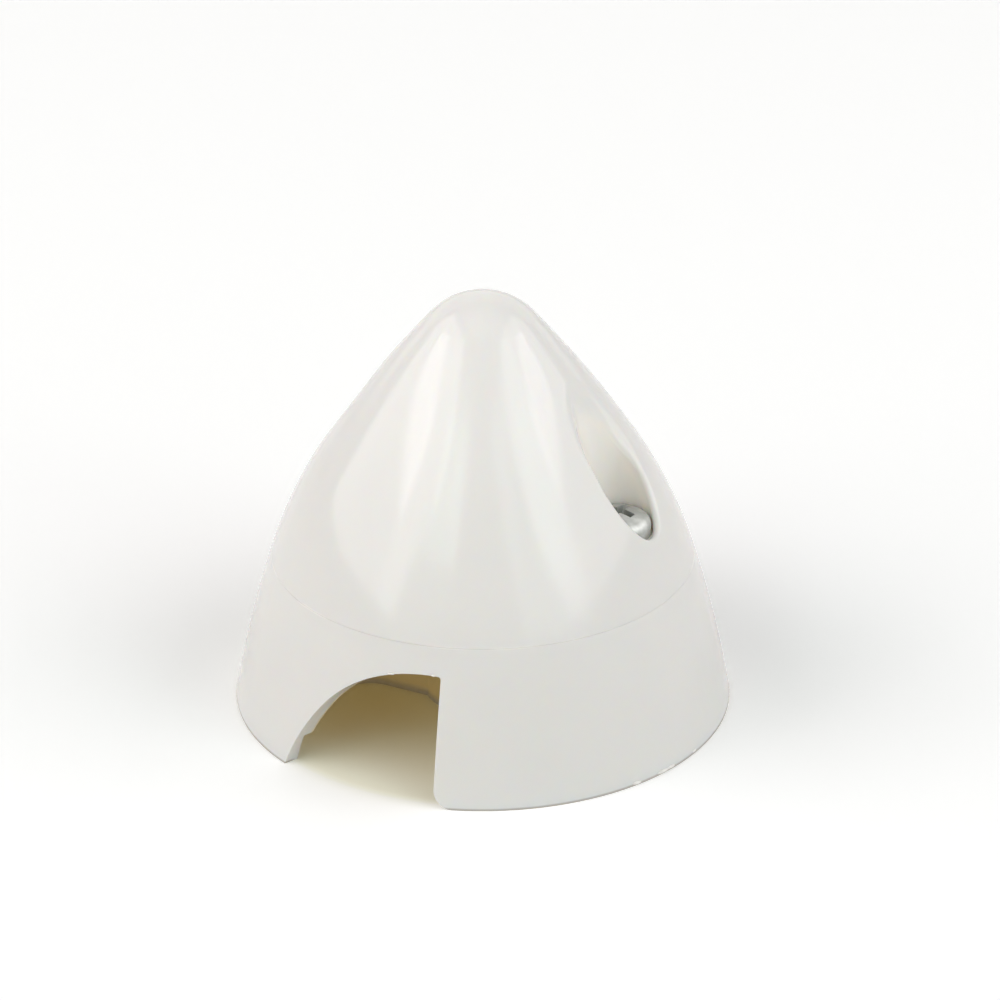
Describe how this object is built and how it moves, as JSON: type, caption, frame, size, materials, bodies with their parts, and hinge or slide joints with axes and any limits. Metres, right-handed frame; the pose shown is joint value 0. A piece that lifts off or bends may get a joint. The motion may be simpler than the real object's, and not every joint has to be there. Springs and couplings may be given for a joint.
{
  "type": "propeller spinner",
  "caption": "Ogive propeller spinner: a moulded nose cone with D-shaped blade openings, held on a notched back plate by pan head screws in side wells.",
  "frame": {"origin": "centre of the rear face, on the propeller shaft's axis", "axes": "+Z along the shaft towards the nose, the blades leave along -Y and +Y, the screws stand on the X axis"},
  "size_m": [0.045, 0.0428, 0.0391],
  "materials": {
    "cone_plastic": "glossy off-white moulded plastic",
    "plate_plastic": "satin off-white moulded plastic",
    "screw_steel": "bright zinc plate"
  },
  "bodies": {
    "root": {"nose_cone": "cone_plastic", "back_plate": "plate_plastic", "cone_screw_right": "screw_steel", "cone_screw_left": "screw_steel"}
  },
  "joints": []
}
